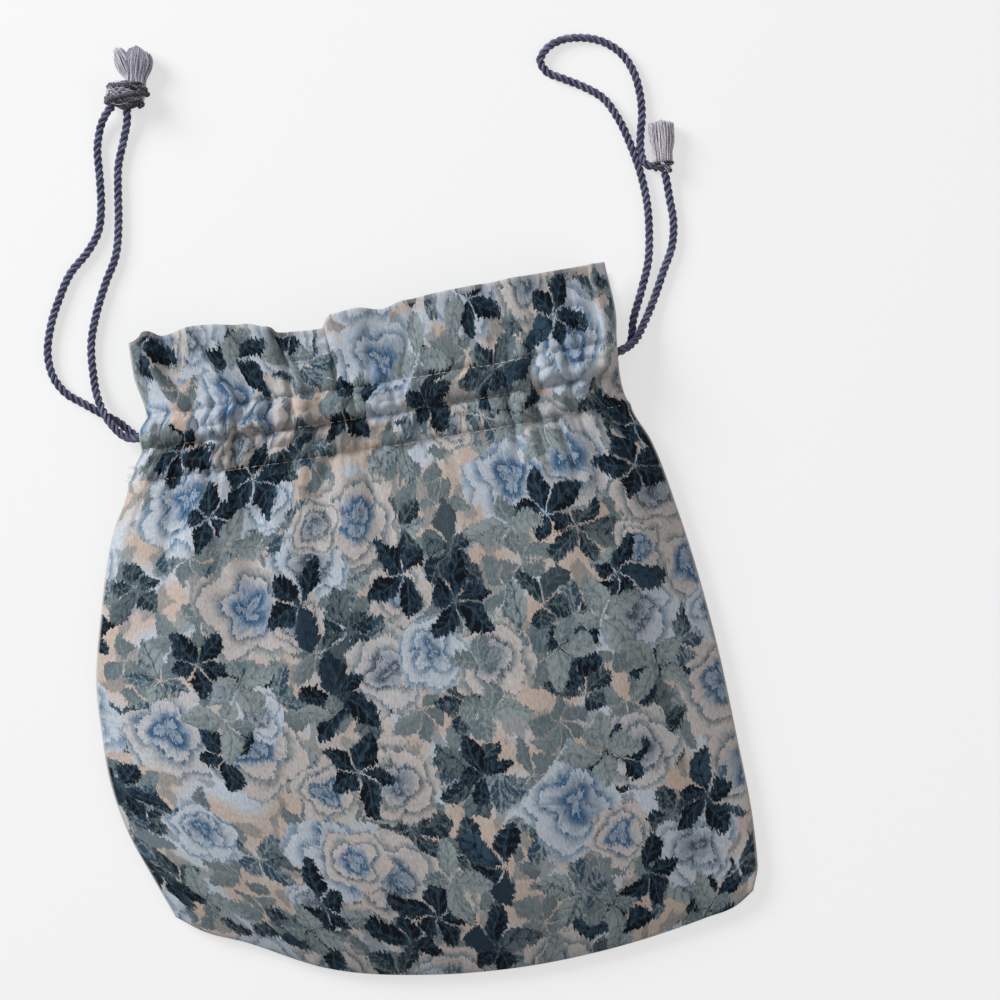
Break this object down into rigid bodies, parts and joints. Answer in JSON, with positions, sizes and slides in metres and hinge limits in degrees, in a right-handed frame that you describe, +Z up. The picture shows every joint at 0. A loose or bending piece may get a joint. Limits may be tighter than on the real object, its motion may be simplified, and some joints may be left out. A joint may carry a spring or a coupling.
{
  "type": "kinchaku drawstring pouch",
  "caption": "Flat printed-cotton drawstring pouch with a gathered frill, a stitched cord channel and a cord loop at each side, each knotted under a small tassel.",
  "frame": {"origin": "middle of the pouch's bounding box, on the surface that it lies on, without its cords", "axes": "+Z up through the pouch's front, +Y along its length towards the mouth, +X across it to the right as its front is seen"},
  "size_m": [0.255, 0.3754, 0.0255],
  "materials": {
    "print_cotton": "printed cotton twill, matt, rose and leaf print in cream, teal and navy",
    "cord_yarn": "three-strand twisted cord, dull satin, purple-navy",
    "binding_yarn": "tied cord end, matt, dark purple",
    "tassel_yarn": "frayed yarn, soft, lilac-grey"
  },
  "bodies": {
    "root": {"front_panel": "print_cotton", "back_panel": "print_cotton", "cord_left": "cord_yarn", "cord_right": "cord_yarn", "knot_left": "binding_yarn", "knot_right": "binding_yarn", "tassel_left": "tassel_yarn", "tassel_right": "tassel_yarn"}
  },
  "joints": []
}
